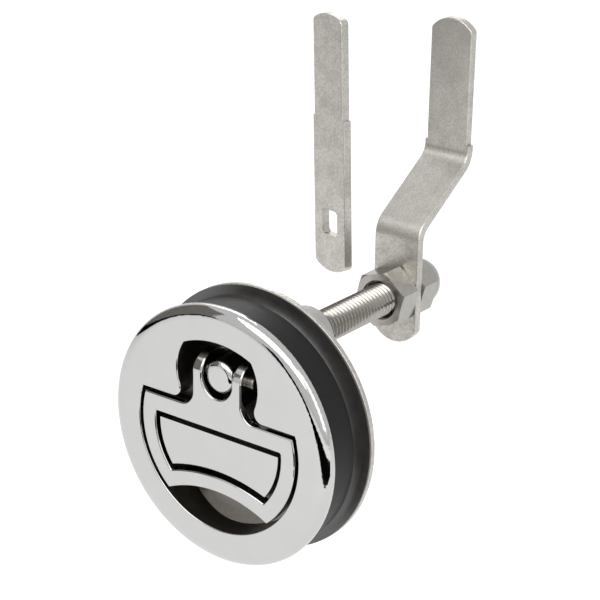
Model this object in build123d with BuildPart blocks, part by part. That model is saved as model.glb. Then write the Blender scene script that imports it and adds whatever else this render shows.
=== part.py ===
from build123d import *
from math import cos, pi, radians, sin, sqrt
import os

# Flush lift-and-turn compression latch for a hatch or locker lid, in millimetres.
# Origin: centre of the round hole in the lid, in the plane of the lid's outer face.
# -Y looks out of the lid at the user, +Y goes into the locker, +Z is up, +X is right.
# The latch is closed: the handle lies in its recess and the cam bar points up.

# Bezel, gaskets and clamped lid, from front to back
bezel_radius = 30.6
bezel_roll = 3.2
bezel_tuck = 1.1
bezel_depth = 3.7
bezel_bulge = 1.8
gasket_inset = 1.4
gasket_depth = 7.6
gasket_lip_inset = 0.5
gasket_lip_depth = 0.6
cup_inset = 5.7
sleeve_wall = 1.6
lid_gap = 3.0
rear_flare_depth = 0.95
rear_flare_reach = 3.6
rear_gasket_inset = 0.1
rear_gasket_thick = 0.5
clamp_overlap = 4.9
clamp_thick = 1.4
clamp_edge_round = 0.3
fit_clear = 0.1

# Recess in the face
cup_wall = 2.3
stud_inset = 8.3
land_drop = 7.4
well_radius = 11.3
well_corner_round = 2.4
well_top_round = 0.8
recess_edge_round = 0.35
pocket_depth = 4.0
scoop_radius = 9.5
scoop_inset = 6.6
scoop_lift = 1.0
handle_gap = 1.0

# Handle: a stirrup whose two ears straddle the stud
handle_rim_gap = 0.9
handle_thick = 2.6
handle_round = 0.4
handle_back_round = 1.1
handle_arch_rise = 8.5
handle_arch_radius = 31.9
window_top_drop = 4.15
stirrup_width = 3.85
window_arch_rise = 8.25
window_arch_radius = 40.5
window_corner_round = 0.5
ear_inner = 4.3
ear_outer = 6.8
ear_root_round = 3.5
slot_drop = 4.9

# Pad of the casting that fills the handle's window
pad_drop = 0.5
pad_gap_top = 1.4
pad_gap_side = 1.05
pad_root = 7.0

# Cam heels: the spindle moves in by the stroke as the handle lifts a quarter turn
pin_depth = 3.5
pin_radius = 1.5
pin_half = 8.6
open_reach = 4.5
stroke = 3.2
heel_clear = 0.1
heel_points = 7
heel_flat = 2.9
cam_washer_thick = 1.2
cam_washer_outer = 8.2
cam_washer_inner = 4.5

# Spindle
spindle_radius = 4.0
spindle_drop = 0.65
spindle_chamfer = 1.1
tail_square = 6.3
run_clear = 0.05
spindle_tail = 8.2
tail_chamfer = 1.0
pin_end_round = 0.6

# Boss behind the cup, with the spring that draws the spindle in
boss_radius = 6.8
boss_length = 19.7
boss_end_round = 0.6
spring_bore = 5.3
guide_length = 4.4
bush_length = 4.0
seal_section = 1.3
seal_y = 3.4
spring_wire = 0.8
spring_turns = 5.0
spring_length = 8.8
seat_washer_thick = 0.6
clip_thick = 0.8
clip_groove = 3.0
clip_outer = 4.95
clip_mouth = 4.6

# Screws that pull the clamp plate onto the casting
screw_ring_inset = 3.4
screw_radius = 1.5
screw_head = 2.8
screw_head_height = 1.9
screw_depth = 4.6
screw_hex = 2.0
screw_count = 4
screw_start = 45
screw_head_round = 0.5
screw_hex_depth = 1.2

# Cam bar, its nuts and the spare straight bar
bar_y = 57.3
bar_width = 12.8
bar_thick = 2.4
bar_below = 13.0
bar_reach = 64.9
bar_step_depth = 0.6
bar_step_height = 33.7
bar_bend_height = 16.4
bar_bend_top = 29.9
bar_offset = 20.7
bar_bend_radius = 5.0
bar_end_radius = 7.3
bar_corner_round = 1.4
nut_flats = 13.0
nut_thick = 6.8
nut_turn = 17.7
nut_dish = 5.0
nut_bevel = 0.9
nut_slope = 0.5
dome_hex = 6.0
dome_height = 13.0
dome_radius = 6.2
dome_spare = 0.8
bar_edge_round = 0.35
spare_reach = 53.0
spare_step_height = 27.0
spare_end_radius = 11.4
spare_turn = -17.2
spare_lean = 3.2
spare_x = -23.7
spare_y = 62.0
spare_z = 26.05

# Radii of the pieces that seat on one another
bezel_flat_radius = bezel_radius - bezel_roll
bezel_back_radius = bezel_radius - bezel_tuck
gasket_radius = bezel_radius - gasket_inset
gasket_lip_radius = gasket_radius - gasket_lip_inset
cup_radius = bezel_radius - cup_inset
neck_radius = cup_radius + sleeve_wall
clamp_radius = neck_radius + clamp_overlap
rear_gasket_radius = clamp_radius - rear_gasket_inset
recess_radius = cup_radius - cup_wall
handle_radius = recess_radius - handle_rim_gap
window_radius = handle_radius - stirrup_width
screw_ring_radius = cup_radius - screw_ring_inset

# Stations along the spindle
bezel_back_y = -gasket_depth
face_y = bezel_back_y - bezel_depth
rear_flare_y = lid_gap - rear_flare_depth
clamp_y = lid_gap + rear_gasket_thick
clamp_back_y = clamp_y + clamp_thick
boss_y = clamp_y + boss_length
pin_y = face_y + pin_depth
closed_reach = open_reach + stroke
cam_y = pin_y + closed_reach + heel_clear
well_y = cam_y + cam_washer_thick
spring_y = well_y + guide_length
seat_y = spring_y + spring_length
clip_y = seat_y + seat_washer_thick
stud_y = face_y + spindle_drop
bar_back_y = bar_y + bar_thick
tail_y = bar_back_y + spindle_tail

stud_z = recess_radius - stud_inset
land_z = stud_z - land_drop
shoulder_z = land_z - handle_gap
window_top_z = shoulder_z - window_top_drop
handle_arch_z = handle_arch_rise - handle_radius
window_arch_z = window_arch_rise - window_radius
scoop_z = scoop_inset - recess_radius
slot_z = stud_z - slot_drop
ear_top_z = stud_z + open_reach
heel_fall = stroke / (pi / 2)
nut_corner = nut_flats / sqrt(3)

stud_axis = Axis((0, 0, stud_z), (0, 1, 0))
stud_plane = Plane.XY.offset(stud_z)
os.makedirs("parts", exist_ok=True)


def face_plane(y):
    """Plane parallel to the front face, at depth y, seen from the front."""
    return Plane.XZ.offset(-y)


def stud_face(y):
    """The same plane, centred on the spindle."""
    return Plane(origin=(0, y, stud_z), x_dir=(1, 0, 0), z_dir=(0, -1, 0))


def back_plane(y):
    """Plane parallel to the front face, at depth y, seen from behind."""
    return Plane(origin=(0, y, 0), x_dir=(-1, 0, 0), z_dir=(0, 1, 0))


def heel_point(angle):
    """Point of the cam heel where its support, seen from the pin, turns by angle.

    The support falls evenly from the closed to the open reach, so the flat washer
    lets the pin sink by the stroke in step with the handle's turn.
    """
    reach = closed_reach - heel_fall * angle
    y = reach * cos(angle) + heel_fall * sin(angle)
    z = reach * sin(angle) - heel_fall * cos(angle)
    return (pin_y + y, stud_z + z)


def stirrup_sector(radius, top, arch_z, arch_radius):
    """Face of a round sector with a straight top and an arched foot."""
    top_half = sqrt(radius**2 - top**2)
    arch_centre = arch_z - arch_radius
    foot_z = (arch_centre**2 - arch_radius**2 + radius**2) / (2 * arch_centre)
    foot_half = sqrt(radius**2 - foot_z**2)
    side_z = (top + foot_z) / 2
    side_half = sqrt(radius**2 - side_z**2)
    with BuildSketch() as sector:
        with BuildLine():
            Line((-top_half, top), (top_half, top))
            ThreePointArc((top_half, top), (side_half, side_z), (foot_half, foot_z))
            ThreePointArc((foot_half, foot_z), (0, arch_z), (-foot_half, foot_z))
            ThreePointArc((-foot_half, foot_z), (-side_half, side_z), (-top_half, top))
        make_face()
    return sector


def tail_section(clear):
    """Section of the spindle's squared tail, grown by clear all round."""
    with BuildSketch() as section:
        Circle(spindle_radius + clear)
        Rectangle(tail_square + 2 * clear, tail_square + 2 * clear, mode=Mode.INTERSECT)
    return section.sketch


def bar_outline(top, step, end_radius):
    """Front view of a cam bar with arched ends, its hole's centre at the origin."""
    half = bar_width / 2
    tip_half = half - bar_step_depth
    foot_side = end_radius - sqrt(end_radius**2 - half**2) - bar_below
    tip_side = top - end_radius + sqrt(end_radius**2 - tip_half**2)
    with BuildSketch() as outline:
        with BuildLine():
            ThreePointArc((-half, foot_side), (0, -bar_below), (half, foot_side))
            Polyline((half, foot_side), (half, step), (tip_half, step), (tip_half, tip_side))
            ThreePointArc((tip_half, tip_side), (0, top), (-tip_half, tip_side))
            Polyline((-tip_half, tip_side), (-tip_half, step), (-half, step), (-half, foot_side))
        make_face()
        end_corners = outline.vertices().group_by(Axis.Y)
        fillet(end_corners[0] + end_corners[-1], bar_corner_round)
        add(tail_section(fit_clear), mode=Mode.SUBTRACT)
    return outline.sketch


def is_rim(edge, hole):
    """True for an edge of a bar's broad face, away from its square hole."""
    away = (edge.center() - hole).length
    return edge.length > bar_thick + fit_clear and away > spindle_radius + bar_thick / 2


def at_height(edge, height):
    """True for an edge whose middle lies at that height."""
    return abs(edge.center().Z - height) < fit_clear


def in_window_corner(edge):
    """True for an upright edge at a corner of the handle's round window."""
    middle = edge.center()
    reach = sqrt(middle.X**2 + middle.Z**2)
    return abs(middle.X) > ear_outer + ear_root_round and reach < window_radius + fit_clear


# The open space in the face: a shallow pocket for the handle, a round well for the
# spindle and the ears, and a scoop for the finger under the handle's arched foot.
with BuildPart() as recess:
    with BuildSketch(face_plane(face_y)):
        Circle(recess_radius)
        with Locations((0, land_z)):
            Rectangle(
                2 * recess_radius,
                recess_radius,
                align=(Align.CENTER, Align.MIN),
                mode=Mode.SUBTRACT,
            )
    extrude(amount=-pocket_depth)
    with BuildSketch(face_plane(face_y)):
        with Locations((0, stud_z)):
            Circle(well_radius)
        Circle(recess_radius, mode=Mode.INTERSECT)
    extrude(amount=-(well_y - face_y))
    fillet(recess.edges().filter_by(Axis.Y).group_by(Axis.Z)[-1], well_top_round)
    uprights = recess.edges().filter_by(Axis.Y).filter_by(lambda e: abs(e.center().X) < well_radius)
    fillet(uprights.filter_by(lambda e: at_height(e, land_z)), well_corner_round)

with BuildPart() as scoop:
    with BuildSketch(Plane.YZ):
        with Locations((face_y - scoop_lift, scoop_z)):
            Circle(scoop_radius)
    extrude(amount=recess_radius, both=True)
    with BuildSketch(face_plane(face_y)):
        Circle(recess_radius)
    extrude(amount=-scoop_radius, mode=Mode.INTERSECT)

pad_face = stirrup_sector(
    window_radius - pad_gap_side,
    window_top_z - pad_gap_top,
    window_arch_z + pad_gap_top,
    window_arch_radius + pad_gap_top,
)

with BuildPart() as housing:
    with BuildSketch(Plane.XY):
        with BuildLine():
            Line((0, face_y), (bezel_flat_radius, face_y))
            EllipticalCenterArc(
                (bezel_flat_radius, face_y + bezel_bulge),
                bezel_radius - bezel_flat_radius,
                bezel_bulge,
                start_angle=270,
                arc_size=90,
            )
            EllipticalCenterArc(
                (bezel_back_radius, face_y + bezel_bulge),
                bezel_radius - bezel_back_radius,
                bezel_depth - bezel_bulge,
                start_angle=0,
                arc_size=90,
            )
            Polyline(
                (bezel_back_radius, bezel_back_y),
                (cup_radius, bezel_back_y),
                (cup_radius, clamp_y),
                (0, clamp_y),
                (0, face_y),
            )
        make_face()
    revolve(axis=Axis.Y)
    with BuildSketch(stud_face(clamp_y)):
        Circle(boss_radius)
    extrude(amount=-boss_length)
    fillet(housing.edges().group_by(Axis.Y)[-1], boss_end_round)
    add(recess.part, mode=Mode.SUBTRACT)
    add(scoop.part, mode=Mode.SUBTRACT)
    mouth = housing.edges().group_by(Axis.Y)[0]
    fillet(mouth, recess_edge_round)
    # the pad stands on the pocket's floor and runs down into the scoop
    with BuildSketch(face_plane(face_y + pad_drop)):
        add(pad_face.sketch)
    extrude(amount=-pad_root)
    # bores through the floor and the boss
    with BuildSketch(stud_plane):
        with BuildLine():
            Polyline(
                (0, face_y),
                (spindle_radius + run_clear, face_y),
                (spindle_radius + run_clear, spring_y),
                (spring_bore, spring_y),
                (spring_bore, boss_y),
                (0, boss_y),
                close=True,
            )
        make_face()
        with Locations((spindle_radius + run_clear, seal_y)):
            Rectangle(seal_section, seal_section + 2 * fit_clear, align=(Align.MIN, Align.CENTER))
    revolve(axis=stud_axis, mode=Mode.SUBTRACT)
    with BuildSketch(back_plane(clamp_y)):
        with PolarLocations(screw_ring_radius, screw_count, start_angle=screw_start):
            Circle(screw_radius)
    extrude(amount=-screw_depth, mode=Mode.SUBTRACT)
housing.part.label = "housing"
export_step(housing.part, "parts/housing.step")

# Thick rubber ring between the bezel and the lid, with a small lip behind the bezel
with BuildPart() as front_gasket:
    with BuildSketch(Plane.XY):
        with BuildLine():
            Polyline(
                (neck_radius, bezel_back_y),
                (gasket_lip_radius, bezel_back_y),
                (gasket_lip_radius, bezel_back_y + gasket_lip_depth),
                (gasket_radius, bezel_back_y + gasket_lip_depth),
                (gasket_radius, 0),
                (neck_radius, 0),
                close=True,
            )
        make_face()
    revolve(axis=Axis.Y)
front_gasket.part.label = "front_gasket"
export_step(front_gasket.part, "parts/front_gasket.step")

# Sleeve between the cup and the lid's hole
with BuildPart() as neck_sleeve:
    with BuildSketch(face_plane(bezel_back_y)):
        Circle(neck_radius)
        Circle(cup_radius, mode=Mode.SUBTRACT)
    extrude(amount=-(rear_flare_y - bezel_back_y))
neck_sleeve.part.label = "neck_sleeve"
export_step(neck_sleeve.part, "parts/neck_sleeve.step")

# Rear rubber ring, which sweeps in from its rim to the neck in a hollow flare
with BuildPart() as rear_gasket:
    with BuildSketch(Plane.XY):
        with BuildLine():
            Polyline(
                (neck_radius, rear_flare_y),
                (cup_radius, rear_flare_y),
                (cup_radius, clamp_y),
                (rear_gasket_radius, clamp_y),
                (rear_gasket_radius, lid_gap),
                (neck_radius + rear_flare_reach, lid_gap),
            )
            EllipticalCenterArc(
                (neck_radius + rear_flare_reach, rear_flare_y),
                rear_flare_reach,
                rear_flare_depth,
                start_angle=90,
                arc_size=90,
            )
        make_face()
    revolve(axis=Axis.Y)
rear_gasket.part.label = "rear_gasket"
export_step(rear_gasket.part, "parts/rear_gasket.step")

with BuildPart() as clamp_plate:
    with BuildSketch(back_plane(clamp_y)):
        Circle(clamp_radius)
        with Locations((0, stud_z)):
            Circle(boss_radius + fit_clear, mode=Mode.SUBTRACT)
        with PolarLocations(screw_ring_radius, screw_count, start_angle=screw_start):
            Circle(screw_radius + fit_clear, mode=Mode.SUBTRACT)
    extrude(amount=clamp_thick)
    fillet(clamp_plate.edges().filter_by(lambda e: e.length > 2 * pi * neck_radius), clamp_edge_round)
clamp_plate.part.label = "clamp_plate"
export_step(clamp_plate.part, "parts/clamp_plate.step")

with BuildPart() as clamp_screws:
    with BuildSketch(back_plane(clamp_back_y)):
        with PolarLocations(screw_ring_radius, screw_count, start_angle=screw_start):
            Circle(screw_head)
    extrude(amount=screw_head_height)
    fillet(clamp_screws.edges().group_by(Axis.Y)[-1], screw_head_round)
    with BuildSketch(back_plane(clamp_back_y + screw_head_height)):
        with PolarLocations(screw_ring_radius, screw_count, start_angle=screw_start):
            RegularPolygon(screw_hex / 2, 6, major_radius=False)
    extrude(amount=-screw_hex_depth, mode=Mode.SUBTRACT)
    with BuildSketch(back_plane(clamp_back_y)):
        with PolarLocations(screw_ring_radius, screw_count, start_angle=screw_start):
            Circle(screw_radius)
    extrude(amount=-(clamp_thick + screw_depth))
clamp_screws.part.label = "clamp_screws"
export_step(clamp_screws.part, "parts/clamp_screws.step")

# Flat hard washer on the well's floor, on which the handle's heels bear
with BuildPart() as cam_washer:
    with BuildSketch(stud_face(well_y)):
        Circle(cam_washer_outer)
        Circle(cam_washer_inner, mode=Mode.SUBTRACT)
    extrude(amount=cam_washer_thick)
cam_washer.part.label = "cam_washer"
export_step(cam_washer.part, "parts/cam_washer.step")

with BuildPart() as shaft_seal:
    with BuildSketch(stud_plane):
        with Locations((spindle_radius + run_clear + seal_section / 2, seal_y)):
            Circle(seal_section / 2)
    revolve(axis=stud_axis)
shaft_seal.part.label = "shaft_seal"
export_step(shaft_seal.part, "parts/shaft_seal.step")

with BuildPart() as shaft_bush:
    with BuildSketch(stud_face(boss_y - bush_length)):
        Circle(spring_bore)
        Circle(spindle_radius + run_clear, mode=Mode.SUBTRACT)
    extrude(amount=-bush_length)
shaft_bush.part.label = "shaft_bush"
export_step(shaft_bush.part, "parts/shaft_bush.step")

# Spindle: a threaded rod with a squared tail, cross-drilled for the hinge pin
with BuildPart() as spindle:
    with BuildSketch(stud_plane):
        with BuildLine():
            Polyline(
                (0, stud_y),
                (spindle_radius - spindle_chamfer, stud_y),
                (spindle_radius, stud_y + spindle_chamfer),
                (spindle_radius, clip_y),
                (clip_groove, clip_y),
                (clip_groove, clip_y + clip_thick),
                (spindle_radius, clip_y + clip_thick),
                (spindle_radius, tail_y - tail_chamfer),
                (spindle_radius - tail_chamfer, tail_y),
                (0, tail_y),
                close=True,
            )
        make_face()
    revolve(axis=stud_axis)
    with BuildSketch(stud_face(bar_y - nut_thick)):
        Circle(2 * spindle_radius)
        add(tail_section(0), mode=Mode.SUBTRACT)
    extrude(amount=-(tail_y - bar_y + nut_thick), mode=Mode.SUBTRACT)
    with BuildSketch(Plane.YZ):
        with Locations((pin_y, stud_z)):
            Circle(pin_radius)
    extrude(amount=spindle_radius, both=True, mode=Mode.SUBTRACT)
spindle.part.label = "spindle"
export_step(spindle.part, "parts/spindle.step")

with BuildPart() as hinge_pin:
    with BuildSketch(Plane.YZ):
        with Locations((pin_y, stud_z)):
            Circle(pin_radius)
    extrude(amount=pin_half, both=True)
    fillet(hinge_pin.edges().filter_by(GeomType.CIRCLE), pin_end_round)
hinge_pin.part.label = "hinge_pin"
export_step(hinge_pin.part, "parts/hinge_pin.step")

with BuildPart() as seat_washer:
    with BuildSketch(stud_face(seat_y)):
        Circle(clip_outer)
        Circle(spindle_radius, mode=Mode.SUBTRACT)
    extrude(amount=-seat_washer_thick)
seat_washer.part.label = "seat_washer"
export_step(seat_washer.part, "parts/seat_washer.step")

with BuildPart() as spring_clip:
    with BuildSketch(stud_face(clip_y)):
        Circle(clip_outer)
        Circle(clip_groove, mode=Mode.SUBTRACT)
        Rectangle(clip_mouth, clip_outer, align=(Align.CENTER, Align.MAX), mode=Mode.SUBTRACT)
    extrude(amount=-clip_thick)
spring_clip.part.label = "spring_clip"
export_step(spring_clip.part, "parts/spring_clip.step")

# Coil spring with ground ends, between the boss's shoulder and the seat washer
spring_radius = (spindle_radius + spring_bore) / 2
with BuildPart() as return_spring:
    with BuildLine():
        coil = Helix(
            pitch=spring_length / spring_turns,
            height=spring_length,
            radius=spring_radius,
            center=(0, spring_y, stud_z),
            direction=(0, 1, 0),
        )
    with BuildSketch(Plane(origin=coil @ 0, z_dir=coil % 0)):
        Circle(spring_wire / 2)
    sweep(is_frenet=True)
    with BuildSketch(stud_face(spring_y)):
        Circle(spring_bore)
    extrude(amount=-spring_length, mode=Mode.INTERSECT)
return_spring.part.label = "return_spring"
export_step(return_spring.part, "parts/return_spring.step")

with BuildPart() as hex_nut:
    with BuildSketch(stud_plane):
        with BuildLine():
            Polyline(
                (spindle_radius + run_clear, bar_y),
                (nut_corner - nut_bevel, bar_y),
                (nut_corner, bar_y - nut_bevel * nut_slope),
                (nut_corner, bar_y - nut_thick + nut_bevel * nut_slope),
                (nut_corner - nut_bevel, bar_y - nut_thick),
                (nut_dish, bar_y - nut_thick),
                (spindle_radius + run_clear, bar_y - nut_thick + nut_dish - spindle_radius),
                close=True,
            )
        make_face()
    revolve(axis=stud_axis)
    with BuildSketch(stud_face(bar_y)):
        RegularPolygon(nut_flats / 2, 6, major_radius=False, rotation=nut_turn)
    extrude(amount=nut_thick, mode=Mode.INTERSECT)
hex_nut.part.label = "hex_nut"
export_step(hex_nut.part, "parts/hex_nut.step")

with BuildPart() as dome_nut:
    with BuildSketch(stud_plane):
        with BuildLine():
            Polyline(
                (0, tail_y + dome_spare),
                (spindle_radius + run_clear, tail_y + dome_spare),
                (spindle_radius + run_clear, bar_back_y),
                (nut_corner - nut_bevel, bar_back_y),
                (nut_corner, bar_back_y + nut_bevel * nut_slope),
                (nut_corner, bar_back_y + dome_hex - nut_bevel * nut_slope),
                (nut_corner - nut_bevel, bar_back_y + dome_hex),
                (dome_radius, bar_back_y + dome_hex),
                (dome_radius, bar_back_y + dome_height - dome_radius),
            )
            RadiusArc(
                (dome_radius, bar_back_y + dome_height - dome_radius),
                (0, bar_back_y + dome_height),
                -dome_radius,
            )
            Line((0, bar_back_y + dome_height), (0, tail_y + dome_spare))
        make_face()
    revolve(axis=stud_axis)
    with BuildSketch(stud_face(bar_back_y + dome_hex)):
        Circle(2 * nut_corner)
        RegularPolygon(nut_flats / 2, 6, major_radius=False, rotation=nut_turn, mode=Mode.SUBTRACT)
    extrude(amount=dome_hex, mode=Mode.SUBTRACT)
dome_nut.part.label = "dome_nut"
export_step(dome_nut.part, "parts/dome_nut.step")

# Offset cam bar: a strip bent twice, then cut to its front outline
bar_mid_y = bar_y + bar_thick / 2
bar_hole = Vector(0, bar_mid_y, stud_z)
with BuildPart() as cam_bar:
    with BuildSketch(Plane.YZ):
        with BuildLine() as bar_path:
            FilletPolyline(
                (bar_mid_y, stud_z - bar_below),
                (bar_mid_y, stud_z + bar_bend_height),
                (bar_mid_y + bar_offset, stud_z + bar_bend_top),
                (bar_mid_y + bar_offset, stud_z + bar_reach),
                radius=bar_bend_radius,
            )
        trace(line_width=bar_thick)
    extrude(amount=bar_width / 2, both=True)
    with BuildSketch(stud_face(bar_y)):
        add(bar_outline(bar_reach, bar_step_height, bar_end_radius))
    extrude(amount=-(bar_offset + bar_thick), mode=Mode.INTERSECT)
    fillet(cam_bar.edges().filter_by(lambda e: is_rim(e, bar_hole)), bar_edge_round)
cam_bar.part.label = "cam_bar"
export_step(cam_bar.part, "parts/cam_bar.step")

# Straight cam bar of the same stock, supplied loose to suit a thinner frame
spare_across = (cos(radians(spare_turn)), sin(radians(spare_turn)), sin(radians(spare_lean)))
spare_front = (sin(radians(spare_turn)), -cos(radians(spare_turn)), 0)
spare_face = Plane(origin=(spare_x, spare_y, spare_z), x_dir=spare_across, z_dir=spare_front)
with BuildPart() as spare_cam_bar:
    with BuildSketch(spare_face):
        add(bar_outline(spare_reach, spare_step_height, spare_end_radius))
    extrude(amount=-bar_thick)
    fillet(spare_cam_bar.edges().filter_by(lambda e: is_rim(e, spare_face.origin)), bar_edge_round)
spare_cam_bar.part.label = "spare_cam_bar"
export_step(spare_cam_bar.part, "parts/spare_cam_bar.step")

# Handle: one flat stirrup with two ears, whose backs carry the cam heels
with BuildPart() as handle:
    with BuildSketch(face_plane(face_y)):
        add(stirrup_sector(handle_radius, shoulder_z, handle_arch_z, handle_arch_radius).sketch)
        with Locations((0, shoulder_z)):
            Rectangle(2 * ear_outer, ear_top_z - shoulder_z, align=(Align.CENTER, Align.MIN))
    extrude(amount=-(cam_y - face_y))
    uprights = handle.edges().filter_by(Axis.Y).filter_by(lambda e: at_height(e, shoulder_z))
    fillet(uprights.filter_by(lambda e: abs(e.center().X) < ear_outer + fit_clear), ear_root_round)
    with BuildSketch(Plane.YZ.offset(-recess_radius)):
        with BuildLine():
            Polyline(
                (face_y, stud_z),
                (face_y, -recess_radius),
                (face_y + handle_thick, -recess_radius),
                (face_y + handle_thick, slot_z),
                (pin_y + closed_reach, stud_z - heel_flat),
                heel_point(0),
            )
            Spline(*[heel_point(i / heel_points * pi / 2) for i in range(heel_points + 1)])
            EllipticalCenterArc(
                (pin_y + heel_fall, stud_z),
                pin_depth + heel_fall,
                open_reach,
                start_angle=90,
                arc_size=90,
            )
        make_face()
    extrude(amount=2 * recess_radius, mode=Mode.INTERSECT)
    with BuildSketch(face_plane(face_y)):
        with Locations((0, slot_z + ear_inner)):
            Circle(ear_inner)
            Rectangle(2 * ear_inner, recess_radius, align=(Align.CENTER, Align.MIN))
        add(stirrup_sector(window_radius, window_top_z, window_arch_z, window_arch_radius).sketch)
    extrude(amount=-(cam_y - face_y), mode=Mode.SUBTRACT)
    with BuildSketch(Plane.YZ):
        with Locations((pin_y, stud_z)):
            Circle(pin_radius + run_clear)
    extrude(amount=pin_half, both=True, mode=Mode.SUBTRACT)
    shoulders = handle.edges().filter_by(Axis.X).filter_by(lambda e: at_height(e, shoulder_z))
    fillet(shoulders.filter_by(lambda e: e.center().Y > face_y + fit_clear), handle_back_round)
    uprights = handle.edges().filter_by(Axis.Y).filter_by(in_window_corner)
    fillet(uprights, window_corner_round)
    front_rims = handle.faces().sort_by(Axis.Y)[0].edges()
    fillet(front_rims.filter_by(lambda e: e.center().Z < stud_z - fit_clear), handle_round)
handle.part.label = "handle"
export_step(handle.part, "parts/handle.step")
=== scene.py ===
import bpy
import math
from mathutils import Matrix, Vector


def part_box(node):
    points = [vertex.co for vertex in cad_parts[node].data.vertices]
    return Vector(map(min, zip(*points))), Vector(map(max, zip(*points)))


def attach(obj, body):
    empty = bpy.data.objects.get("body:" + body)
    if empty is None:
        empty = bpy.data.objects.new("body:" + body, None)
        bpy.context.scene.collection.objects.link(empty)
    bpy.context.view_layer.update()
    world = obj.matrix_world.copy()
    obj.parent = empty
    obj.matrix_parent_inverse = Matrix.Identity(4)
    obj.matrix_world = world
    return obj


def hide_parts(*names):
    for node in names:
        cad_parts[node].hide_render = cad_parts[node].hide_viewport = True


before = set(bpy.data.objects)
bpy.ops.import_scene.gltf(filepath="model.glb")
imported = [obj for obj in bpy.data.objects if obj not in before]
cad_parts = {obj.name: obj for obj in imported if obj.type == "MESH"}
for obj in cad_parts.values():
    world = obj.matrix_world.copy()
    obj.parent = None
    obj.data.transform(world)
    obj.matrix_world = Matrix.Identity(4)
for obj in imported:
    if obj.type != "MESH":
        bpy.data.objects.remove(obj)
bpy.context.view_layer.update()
bpy.ops.object.select_all(action="DESELECT")
mm = 0.001
print("frame loaded,", len(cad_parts), "solids")

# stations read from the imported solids
spindleLow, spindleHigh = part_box("spindle")
axisZ = (spindleLow.z + spindleHigh.z) / 2
headY, tailY = spindleLow.y, spindleHigh.y
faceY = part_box("housing")[0].y
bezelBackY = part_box("front_gasket")[0].y
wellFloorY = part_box("cam_washer")[1].y
nutFrontY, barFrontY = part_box("hex_nut")[0].y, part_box("hex_nut")[1].y
clipFrontY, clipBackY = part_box("spring_clip")[0].y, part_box("spring_clip")[1].y


# an sRGB hex value as the linear one that a socket takes
def linearColor(hexColor):
    parts = [int(hexColor[i:i + 2], 16) / 255 for i in (1, 3, 5)]
    return [p / 12.92 if p <= 0.04045 else ((p + 0.055) / 1.055) ** 2.4 for p in parts] + [1.0]


# settings go to the node's sockets or to its own options, whichever has the name
def addNode(tree, kind, settings={}, links={}):
    node = tree.nodes.new(kind)
    for key, value in settings.items():
        if isinstance(key, int) or key in node.inputs:
            node.inputs[key].default_value = value
        else:
            setattr(node, key, value)
    for key, source in links.items():
        tree.links.new(source, node.inputs[key])
    return node


def startMaterial(name, constants={}):
    material = bpy.data.materials.new(name)
    material.use_nodes = True
    tree = material.node_tree
    tree.nodes.clear()
    shader = addNode(tree, "ShaderNodeBsdfPrincipled", constants)
    addNode(tree, "ShaderNodeOutputMaterial", links={"Surface": shader.outputs[0]})
    coords = addNode(tree, "ShaderNodeTexCoord").outputs["Object"]
    return material, tree, shader, coords


# one pattern runs a finish from its first tint and roughness to its second, and another may raise its skin
def finishLook(tree, shader, look, pattern, skin=None):
    tint = addNode(tree, "ShaderNodeMix", {
        "data_type": "RGBA", 6: linearColor(look["tints"][0]), 7: linearColor(look["tints"][1]),
    }, {0: pattern})
    tree.links.new(tint.outputs[2], shader.inputs["Base Color"])
    if "roughness" in look:
        gloss = addNode(tree, "ShaderNodeMapRange", {
            "To Min": look["roughness"][0], "To Max": look["roughness"][1],
        }, {"Value": pattern})
        tree.links.new(gloss.outputs[0], shader.inputs["Roughness"])
    if "bump" in look:
        bump = addNode(tree, "ShaderNodeBump", {
            "Strength": look["bump"], "Distance": look["bumpDepth"],
        }, {"Height": skin})
        tree.links.new(bump.outputs[0], shader.inputs["Normal"])


# 316 casting buffed on a soft wheel: a cool mirror with a faint orange peel left by the buff
mirrorLook = {
    "tints": ("#BABAB9", "#B5B5B4"), "roughness": (0.045, 0.08),
    "peel": 5.0 * mm, "bump": 0.04, "bumpDepth": 0.05 * mm,
}
mirrorSteel, tree, shader, coords = startMaterial("Mirror-polished stainless casting", {"Metallic": 1.0})
peel = addNode(tree, "ShaderNodeTexNoise", {
    "Scale": 1 / mirrorLook["peel"], "Detail": 2.0,
}, {"Vector": coords}).outputs["Fac"]
finishLook(tree, shader, mirrorLook, peel, peel)

# the recess and the pin are only tumbled: duller, with a sand grain in the casting's skin; their darker tint is
# painted shade for the shade in the recess and on the pin
recessPaintedShadeLook = {
    "tints": ("#706C66", "#8A8680"), "roughness": (0.24, 0.4),
    "grain": 0.5 * mm, "bump": 0.2, "bumpDepth": 0.04 * mm,
}
tumbledWithPaintedShade, tree, shader, coords = startMaterial("Tumbled stainless with painted shade", {"Metallic": 1.0})
grain = addNode(tree, "ShaderNodeTexNoise", {
    "Scale": 1 / recessPaintedShadeLook["grain"], "Detail": 4.0,
}, {"Vector": coords}).outputs["Fac"]
finishLook(tree, shader, recessPaintedShadeLook, grain, grain)

# glass bead blasting leaves the cup and boss pale, even and matt
blastLook = {
    "tints": ("#9C9B99", "#B1B0AE"), "roughness": (0.42, 0.58),
    "grain": 0.35 * mm, "bump": 0.3, "bumpDepth": 0.03 * mm,
}
blastedSteel, tree, shader, coords = startMaterial("Bead-blasted stainless casting", {"Metallic": 1.0})
grain = addNode(tree, "ShaderNodeTexNoise", {
    "Scale": 1 / blastLook["grain"], "Detail": 5.0,
}, {"Vector": coords}).outputs["Fac"]
finishLook(tree, shader, blastLook, grain, grain)

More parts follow.
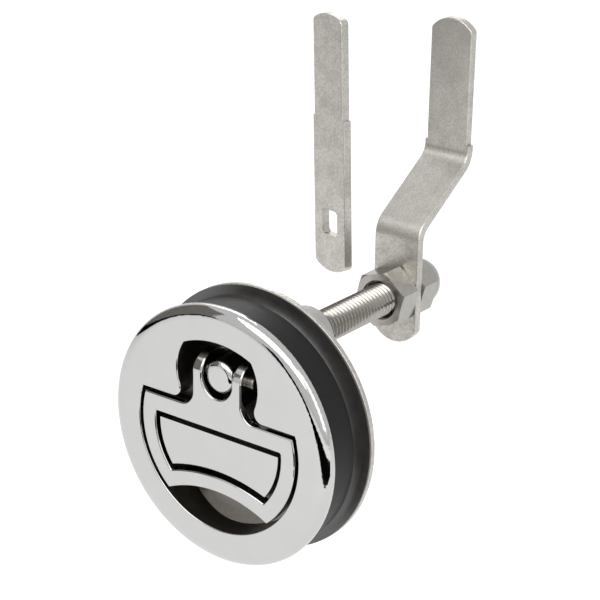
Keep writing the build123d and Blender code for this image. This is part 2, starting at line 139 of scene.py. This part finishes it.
# 2.4 mm strip after a tumbling barrel: warm satin, cloudy, pricked all over with small darker dents
tumbledLook = {
    "tints": ("#A7A49E", "#BFBCB6"), "roughness": (0.42, 0.32),
    "mottle": 4.0 * mm, "contrast": (0.14, 0.34),
    "dent": 0.5 * mm,  # really nearer 0.2 mm, which is too fine to show
    "bump": 0.55, "bumpDepth": 0.05 * mm,
}
tumbledSteel, tree, shader, coords = startMaterial("Tumbled stainless strip", {"Metallic": 1.0})
mottle = addNode(tree, "ShaderNodeTexNoise", {
    "Scale": 1 / tumbledLook["mottle"], "Detail": 6.0, "Roughness": 0.7,
}, {"Vector": coords}).outputs["Fac"]
dents = addNode(tree, "ShaderNodeTexNoise", {
    "Scale": 1 / tumbledLook["dent"], "Detail": 3.0,
}, {"Vector": coords}).outputs["Fac"]
both = addNode(tree, "ShaderNodeMath", {"operation": "MULTIPLY"}, {0: mottle, 1: dents}).outputs[0]
clouds = addNode(tree, "ShaderNodeMapRange", {
    "From Min": tumbledLook["contrast"][0], "From Max": tumbledLook["contrast"][1],
}, {"Value": both}).outputs[0]
finishLook(tree, shader, tumbledLook, clouds, dents)

# bar stock off the lathe, washed but not polished: bright, with a faint grey bloom
turnedLook = {"tints": ("#A8A6A1", "#918E89"), "roughness": (0.14, 0.24), "bloom": 1.6 * mm}
turnedSteel, tree, shader, coords = startMaterial("Bright turned stainless", {"Metallic": 1.0})
bloom = addNode(tree, "ShaderNodeTexNoise", {
    "Scale": 1 / turnedLook["bloom"], "Detail": 5.0,
}, {"Vector": coords}).outputs["Fac"]
finishLook(tree, shader, turnedLook, bloom)

# EPDM moulded in a polished tool: satin black with a soft grey bloom
rubberLook = {
    "tints": ("#121213", "#1E1E1F"), "roughness": (0.34, 0.5),
    "bloom": 2.0 * mm, "grain": 0.2 * mm, "bump": 0.15, "bumpDepth": 0.02 * mm,
}
mouldedRubber, tree, shader, coords = startMaterial(
    "Moulded EPDM rubber", {"IOR": 1.5, "Specular IOR Level": 0.15})
bloom = addNode(tree, "ShaderNodeTexNoise", {
    "Scale": 1 / rubberLook["bloom"], "Detail": 5.0,
}, {"Vector": coords}).outputs["Fac"]
grain = addNode(tree, "ShaderNodeTexNoise", {
    "Scale": 1 / rubberLook["grain"], "Detail": 2.0,
}, {"Vector": coords}).outputs["Fac"]
finishLook(tree, shader, rubberLook, bloom, grain)

# nitrile straight from a bright mould: black, with the shine of a wet skin and a few scuffs
sleeveLook = {"tints": ("#0E0D0D", "#2B2826"), "roughness": (0.2, 0.34), "scuff": 1.5 * mm}
mouldedSleeve, tree, shader, coords = startMaterial("Glossy moulded nitrile", {"IOR": 1.52})
scuff = addNode(tree, "ShaderNodeTexNoise", {
    "Scale": 1 / sleeveLook["scuff"], "Detail": 6.0,
}, {"Vector": coords}).outputs["Fac"]
finishLook(tree, shader, sleeveLook, scuff)

# the rear ring's nitrile is handled at fitting, so its skin carries a dusty grey shine
ringLook = {"tints": ("#242322", "#3B3937"), "roughness": (0.26, 0.36), "dust": 2.5 * mm}
handledNitrile, tree, shader, coords = startMaterial(
    "Handled moulded nitrile", {"IOR": 1.52, "Specular IOR Level": 1.0})
dust = addNode(tree, "ShaderNodeTexNoise", {
    "Scale": 1 / ringLook["dust"], "Detail": 4.0,
}, {"Vector": coords}).outputs["Fac"]
finishLook(tree, shader, ringLook, dust)

# acetal bush as turned: milky white, faintly cloudy
acetalLook = {"tints": ("#DDD9CE", "#CFCABD"), "cloud": 3.0 * mm}
acetal, tree, shader, coords = startMaterial("Turned acetal", {"Roughness": 0.4})
cloud = addNode(tree, "ShaderNodeTexNoise", {
    "Scale": 1 / acetalLook["cloud"], "Detail": 3.0,
}, {"Vector": coords}).outputs["Fac"]
finishLook(tree, shader, acetalLook, cloud)
print("finishes made")


def onlySelect(piece):
    bpy.ops.object.select_all(action="DESELECT")
    piece.select_set(True)
    bpy.context.view_layer.objects.active = piece


# angles in degrees; slivers are paired into quads, or they drag the shading askew on the rolled rim
copySetup = {"mergeWithin": 0.002 * mm, "quadFold": 12, "quadSkew": 70, "crease": 32}


# a copy of a solid with its triangles merged, so that its faces can shade smoothly
def finishedCopy(nodeName, pieceName, body, materials):
    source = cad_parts[nodeName]
    piece = bpy.data.objects.new(pieceName, source.data.copy())
    bpy.context.scene.collection.objects.link(piece)
    piece.data.materials.clear()
    for material in materials:
        piece.data.materials.append(material)
    onlySelect(piece)
    bpy.ops.mesh.customdata_custom_splitnormals_clear()
    bpy.ops.object.mode_set(mode="EDIT")
    bpy.ops.mesh.select_all(action="SELECT")
    bpy.ops.mesh.remove_doubles(threshold=copySetup["mergeWithin"])
    bpy.ops.mesh.tris_convert_to_quads(
        face_threshold=math.radians(copySetup["quadFold"]), shape_threshold=math.radians(copySetup["quadSkew"]),
    )
    bpy.ops.object.mode_set(mode="OBJECT")
    for face in piece.data.polygons:
        face.material_index = 0
    bpy.ops.object.shade_smooth_by_angle(angle=math.radians(copySetup["crease"]))
    bpy.ops.object.modifier_add(type="WEIGHTED_NORMAL")
    weighting = piece.modifiers[-1]
    weighting.keep_sharp = True
    weighting.mode = "FACE_AREA_WITH_ANGLE"
    bpy.ops.object.modifier_apply(modifier=weighting.name)
    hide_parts(nodeName)
    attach(piece, body)
    return piece


# the buffing wheel reaches the face, its rolled rim and the pad, but not down into the recess, whose faces take
# the tumbled finish with painted shade in its darker tint
castingZones = {"recessRadius": 22.95 * mm, "buffedDepth": 0.56 * mm, "rimInner": 26.0 * mm, "slack": 0.02 * mm}
casting = finishedCopy(
    "housing", "faceCasting", "housing", [mirrorSteel, tumbledWithPaintedShade, blastedSteel])
for face in casting.data.polygons:
    radius = math.hypot(face.center.x, face.center.z)
    onFace = face.center.y < faceY + castingZones["buffedDepth"]
    onRim = radius > castingZones["rimInner"] and face.center.y < bezelBackY + castingZones["slack"]
    inShadedRecess = radius < castingZones["recessRadius"] and face.center.y < wellFloorY + castingZones["slack"]
    # faces in the recess get painted shade from the darker tumbled tint; the rest of the cup is blasted
    face.material_index = 0 if onFace or onRim else 1 if inShadedRecess else 2
print("face casting finished")

finishedCopy("handle", "liftHandle", "handle", [mirrorSteel])
# the pin's darker tumbled tint is painted shade
finishedCopy("hinge_pin", "crossPin", "spindle", [tumbledWithPaintedShade])
finishedCopy("front_gasket", "seatRing", "housing", [mouldedRubber])
finishedCopy("neck_sleeve", "lidSleeve", "housing", [mouldedSleeve])
finishedCopy("clamp_plate", "clampDisc", "housing", [tumbledSteel])
finishedCopy("clamp_screws", "clampScrews", "housing", [turnedSteel])
finishedCopy("hex_nut", "frontNut", "spindle", [turnedSteel])
finishedCopy("dome_nut", "domeNut", "spindle", [turnedSteel])
finishedCopy("cam_bar", "offsetBar", "spindle", [tumbledSteel])
finishedCopy("spare_cam_bar", "looseBar", "housing", [tumbledSteel])
print("merged copies finished")

# the small parts inside the boss keep their own solids
innerFinishes = {
    "cam_washer": turnedSteel,
    "seat_washer": turnedSteel,
    "spring_clip": turnedSteel,
    "return_spring": turnedSteel,
    "shaft_bush": acetal,
    "shaft_seal": mouldedRubber,
}
for nodeName, material in innerFinishes.items():
    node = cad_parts[nodeName]
    node.data.materials.clear()
    node.data.materials.append(material)
print("inner parts finished")

spindleShape = {
    "radius": 4.0 * mm,
    "headRound": 1.5 * mm,
    "headSteps": 4,
    "clipGroove": 3.0 * mm,
    "threadStart": 21.0 * mm,
    "threadDepth": 0.7 * mm,
    "threadPastNut": 2.0 * mm,  # how far the thread runs on inside the front nut
    "pitch": 1.25 * mm,  # M8 coarse
    "crest": 0.16 * mm,
    "tailRadius": 3.1 * mm,
    "stepsRound": 64,
    "crease": 35,
}


# selects the faces that lie square across the rod at one station, and leaves the rod in edit mode
def selectAtY(piece, level, within=0.01 * mm, squareness=0.9):
    bpy.ops.object.mode_set(mode="OBJECT")
    for part in (piece.data.vertices, piece.data.edges, piece.data.polygons):
        for item in part:
            item.select = False
    for face in piece.data.polygons:
        face.select = abs(face.center.y - level) < within and abs(face.normal.y) > squareness
    bpy.ops.object.mode_set(mode="EDIT")


# pulls the rod's end face on from one station to the next, at a new radius
def drawOn(startY, startRadius, endY, endRadius):
    bpy.ops.mesh.extrude_region_move()
    ratio = endRadius / startRadius
    bpy.ops.transform.resize(value=(ratio, 1, ratio), center_override=(0, startY, axisZ))
    bpy.ops.mesh.extrude_region_move(TRANSFORM_OT_translate={"value": (0, endY - startY, 0)})


rodRadius = spindleShape["radius"]
coreRadius = rodRadius - spindleShape["threadDepth"]
grooveRadius = spindleShape["clipGroove"]
threadStart = spindleShape["threadStart"]
nutMidY = (nutFrontY + barFrontY) / 2
bpy.ops.object.select_all(action="DESELECT")
bpy.ops.mesh.primitive_cylinder_add(
    vertices=spindleShape["stepsRound"], radius=rodRadius, depth=clipFrontY - headY,
    location=(0, (headY + clipFrontY) / 2, axisZ), rotation=(math.pi / 2, 0, 0),
)
rod = bpy.context.object
rod.name = "spindleRod"
bpy.ops.object.transform_apply(location=True, rotation=True, scale=True)
selectAtY(rod, headY)
bpy.ops.mesh.bevel(offset=spindleShape["headRound"], segments=spindleShape["headSteps"], affect="EDGES")
selectAtY(rod, clipFrontY)
drawOn(clipFrontY, rodRadius, clipBackY, grooveRadius)
drawOn(clipBackY, grooveRadius, threadStart, rodRadius)
drawOn(threadStart, rodRadius, nutMidY, coreRadius)
drawOn(nutMidY, coreRadius, tailY, spindleShape["tailRadius"])
bpy.ops.object.mode_set(mode="OBJECT")
print("spindle drawn out")

# one turn of the thread's profile, walked round by the screw modifier
pitch, crest, depth = spindleShape["pitch"], spindleShape["crest"], spindleShape["threadDepth"]
flank = (pitch - 2 * crest) / 2
bpy.ops.object.select_all(action="DESELECT")
bpy.ops.mesh.primitive_plane_add(size=mm)
thread = bpy.context.object
thread.name = "spindleThread"
bpy.ops.object.mode_set(mode="EDIT")
bpy.ops.mesh.select_all(action="SELECT")
bpy.ops.mesh.merge(type="CENTER")
bpy.ops.transform.translate(value=(coreRadius, 0, 0))
for outward, along in [(0, crest), (depth, flank), (0, crest), (-depth, flank)]:
    bpy.ops.mesh.extrude_vertices_move(TRANSFORM_OT_translate={"value": (outward, along, 0)})
bpy.ops.object.mode_set(mode="OBJECT")
bpy.ops.object.modifier_add(type="SCREW")
screw = thread.modifiers[-1]
screw.axis = "Y"
screw.steps = screw.render_steps = spindleShape["stepsRound"]
screw.screw_offset = pitch
screw.iterations = int((nutFrontY + spindleShape["threadPastNut"] - threadStart) / pitch)
screw.use_merge_vertices = True
turns = screw.iterations
bpy.ops.object.modifier_apply(modifier=screw.name)
thread.location = (0, threadStart, axisZ)
bpy.ops.object.transform_apply(location=True, rotation=True, scale=True)
onlySelect(rod)
thread.select_set(True)
bpy.ops.object.join()
bpy.ops.object.mode_set(mode="EDIT")
bpy.ops.mesh.select_all(action="SELECT")
bpy.ops.mesh.normals_make_consistent(inside=False)
bpy.ops.object.mode_set(mode="OBJECT")
bpy.ops.object.shade_smooth_by_angle(angle=math.radians(spindleShape["crease"]))
for material in (turnedSteel, mirrorSteel):
    rod.data.materials.append(material)
for face in rod.data.polygons:
    face.material_index = 1 if face.center.y < headY + spindleShape["headRound"] else 0
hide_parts("spindle")
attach(rod, "spindle")
print("spindle threaded,", turns, "turns")

# rear rubber ring: its flare runs up the neck almost to the seat ring, as rubber does when it is pinched
ringShape = {
    "startGap": 0.35 * mm,
    "reach": 3.5 * mm,
    "rimThick": 0.5 * mm,
    "boreInset": 1.58 * mm,  # the bore lies this far inside the neck, under the sleeve's end
    "clearance": 0.02 * mm,  # keeps the ring's skin just off the sleeve's
    "stepsRound": 128,
    "stepsAcross": 10,
    "mergeWithin": 0.001 * mm,
    "crease": 35,
}
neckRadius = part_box("neck_sleeve")[1].x
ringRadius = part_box("rear_gasket")[1].z
boreRadius = neckRadius - ringShape["boreInset"]
ringBackY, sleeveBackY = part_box("rear_gasket")[1].y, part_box("neck_sleeve")[1].y
rimY = ringBackY - ringShape["rimThick"]
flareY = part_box("front_gasket")[1].y + ringShape["startGap"]
hugRadius = neckRadius + ringShape["clearance"]
stepY = sleeveBackY + ringShape["clearance"]
loops = [(boreRadius, ringBackY), (ringRadius, ringBackY), (ringRadius, rimY)]
for step in range(ringShape["stepsAcross"], -1, -1):
    sweep = math.pi / 2 * step / ringShape["stepsAcross"]
    outward = ringShape["reach"] * (1 - math.cos(sweep))
    loops.append((hugRadius + outward, flareY + (rimY - flareY) * math.sin(sweep)))
loops += [(hugRadius, stepY), (boreRadius, stepY), loops[0]]
bpy.ops.object.select_all(action="DESELECT")
bpy.ops.mesh.primitive_circle_add(
    vertices=ringShape["stepsRound"], radius=boreRadius,
    location=(0, ringBackY, 0), rotation=(math.pi / 2, 0, 0),
)
ring = bpy.context.object
ring.name = "backRing"
bpy.ops.object.transform_apply(location=True, rotation=True, scale=True)
bpy.ops.object.mode_set(mode="EDIT")
bpy.ops.mesh.select_all(action="SELECT")
for (startRadius, startY), (endRadius, endY) in zip(loops, loops[1:]):
    bpy.ops.mesh.extrude_edges_move(TRANSFORM_OT_translate={"value": (0, endY - startY, 0)})
    ratio = endRadius / startRadius
    bpy.ops.transform.resize(value=(ratio, 1, ratio), center_override=(0, endY, 0))
bpy.ops.mesh.select_all(action="SELECT")
bpy.ops.mesh.remove_doubles(threshold=ringShape["mergeWithin"])
bpy.ops.mesh.normals_make_consistent(inside=False)
bpy.ops.object.mode_set(mode="OBJECT")
bpy.ops.object.shade_smooth_by_angle(angle=math.radians(ringShape["crease"]))
ring.data.materials.append(handledNitrile)
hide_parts("rear_gasket")
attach(ring, "housing")
print("rear ring drawn,", len(loops) - 1, "bands")


# 1 where the camera, a reflection or a view through something clear looks straight at a surface, else 0
def seenDirectly(tree):
    path = addNode(tree, "ShaderNodeLightPath")
    direct = addNode(tree, "ShaderNodeMath", {"operation": "MAXIMUM"}, {
        0: path.outputs["Is Camera Ray"], 1: path.outputs["Is Glossy Ray"],
    })
    return addNode(tree, "ShaderNodeMath", {"operation": "MAXIMUM"}, {
        0: direct.outputs[0], 1: path.outputs["Is Transmission Ray"],
    }).outputs[0]


floorSetup = {"height": -85 * mm, "size": 6.0, "color": "#F4F4F4", "lift": 0.4}
bpy.ops.object.select_all(action="DESELECT")
bpy.ops.mesh.primitive_plane_add(size=floorSetup["size"], location=(0, 0, floorSetup["height"]))
floor = bpy.context.object
floor.name = "floor"
floorPaint = bpy.data.materials.new("Matt white studio floor")
floorPaint.use_nodes = True
tree = floorPaint.node_tree
tree.nodes.clear()
paint = addNode(tree, "ShaderNodeBsdfDiffuse", {"Color": linearColor(floorSetup["color"])})
strength = addNode(tree, "ShaderNodeMath", {
    "operation": "MULTIPLY", 1: floorSetup["lift"],
}, {0: seenDirectly(tree)})
lift = addNode(tree, "ShaderNodeEmission", links={"Strength": strength.outputs[0]})
total = addNode(tree, "ShaderNodeAddShader", links={0: paint.outputs[0], 1: lift.outputs[0]})
addNode(tree, "ShaderNodeOutputMaterial", links={"Surface": total.outputs[0]})
floor.data.materials.append(floorPaint)

# one grey and three black cards round the table that only reflections see: they draw the dark lines in the rim
cardSetup = {
    "sideCard": {
        "at": (-0.12, -0.085, 0.083), "turn": (0, 90, 0), "wide": 0.126, "deep": 0.17, "color": "#8C8782",
    },
    "skirtCard": {
        "at": (-0.118, -0.085, 0.016), "turn": (0, 90, 0), "wide": 0.014, "deep": 0.17, "color": "#0A0A0A",
    },
    "lowCard": {
        "at": (0.084, -0.1275, -0.058), "turn": (90, 7, 31), "wide": 0.28, "deep": 0.058, "color": "#0A0A0A",
    },
    "leanCard": {
        "at": (-0.022, -0.19, -0.008), "turn": (90, -31, 0), "wide": 0.04, "deep": 0.10, "color": "#0A0A0A",
    },
}
for cardName, card in cardSetup.items():
    cardPaper = bpy.data.materials.new("Matt paper of the " + cardName)
    cardPaper.use_nodes = True
    tree = cardPaper.node_tree
    tree.nodes.clear()
    paper = addNode(tree, "ShaderNodeBsdfDiffuse", {"Color": linearColor(card["color"])})
    clear = addNode(tree, "ShaderNodeBsdfTransparent")
    path = addNode(tree, "ShaderNodeLightPath")
    shown = addNode(tree, "ShaderNodeMixShader", links={
        0: path.outputs["Is Glossy Ray"], 1: clear.outputs[0], 2: paper.outputs[0],
    })
    addNode(tree, "ShaderNodeOutputMaterial", links={"Surface": shown.outputs[0]})
    turnAngles = [math.radians(angle) for angle in card["turn"]]
    bpy.ops.mesh.primitive_plane_add(size=1, location=card["at"], rotation=turnAngles)
    plate = bpy.context.object
    plate.name = cardName
    plate.scale = (card["wide"], card["deep"], 1)
    bpy.ops.object.transform_apply(location=True, rotation=True, scale=True)
    plate.data.materials.append(cardPaper)

skySetup = {"color": "#FAFAFA", "strength": 0.5, "seenStrength": 1.0}
world = bpy.data.worlds.new("Soft studio")
bpy.context.scene.world = world
world.use_nodes = True
tree = world.node_tree
tree.nodes.clear()
level = addNode(tree, "ShaderNodeMapRange", {
    "To Min": skySetup["strength"], "To Max": skySetup["seenStrength"],
}, {"Value": seenDirectly(tree)})
glow = addNode(tree, "ShaderNodeBackground", {
    "Color": linearColor(skySetup["color"]),
}, {"Strength": level.outputs[0]})
addNode(tree, "ShaderNodeOutputWorld", links={"Surface": glow.outputs[0]})

lampSetup = {
    "key": {"toward": (0.1, -0.66, 0.68), "distance": 0.8, "wide": 0.8, "high": 0.6, "power": 3.8},
    "side": {"toward": (0.84, -0.2, 0.45), "distance": 0.7, "wide": 0.6, "high": 0.6, "power": 1.4},
    "back": {"toward": (-0.5, 0.62, 0.6), "distance": 0.9, "wide": 0.5, "high": 0.5, "power": 1.6},
}
lampCentre = Vector((0, 20 * mm, 0))  # all three face this point on the spindle
for lampName, lamp in lampSetup.items():
    aim = Vector(lamp["toward"]).normalized()
    bpy.ops.object.light_add(type="AREA", location=lampCentre + aim * lamp["distance"])
    light = bpy.context.object
    light.name = lampName + "Lamp"
    light.data.shape = "RECTANGLE"
    light.data.size = lamp["wide"]
    light.data.size_y = lamp["high"]
    light.data.energy = lamp["power"]
    light.rotation_euler = aim.to_track_quat("Z", "Y").to_euler()

cameraSetup = {
    "azimuth": 36.909,
    "elevation": 21.152,
    "roll": 0.920,
    "lens": 108.02,
    "sensor": 36,
    "nearest": 0.01,
    "offset": (18.4597 * mm, 30.5631 * mm, 396.7325 * mm),  # right, up and back from the face's centre
}
turn = (
    Matrix.Rotation(math.radians(cameraSetup["azimuth"]), 4, "Z")
    @ Matrix.Rotation(math.radians(90 - cameraSetup["elevation"]), 4, "X")
    @ Matrix.Rotation(math.radians(cameraSetup["roll"]), 4, "Z")
)
place = turn @ Vector(cameraSetup["offset"]) + Vector((0, faceY, 0))
bpy.ops.object.camera_add()
camera = bpy.context.object
camera.matrix_world = Matrix.Translation(place) @ turn
camera.data.sensor_width = cameraSetup["sensor"]
camera.data.lens = cameraSetup["lens"]
camera.data.clip_start = cameraSetup["nearest"]
bpy.context.scene.camera = camera
bpy.context.scene.view_settings.view_transform = "Standard"
print("stage set")

bpy.ops.object.select_all(action="DESELECT")
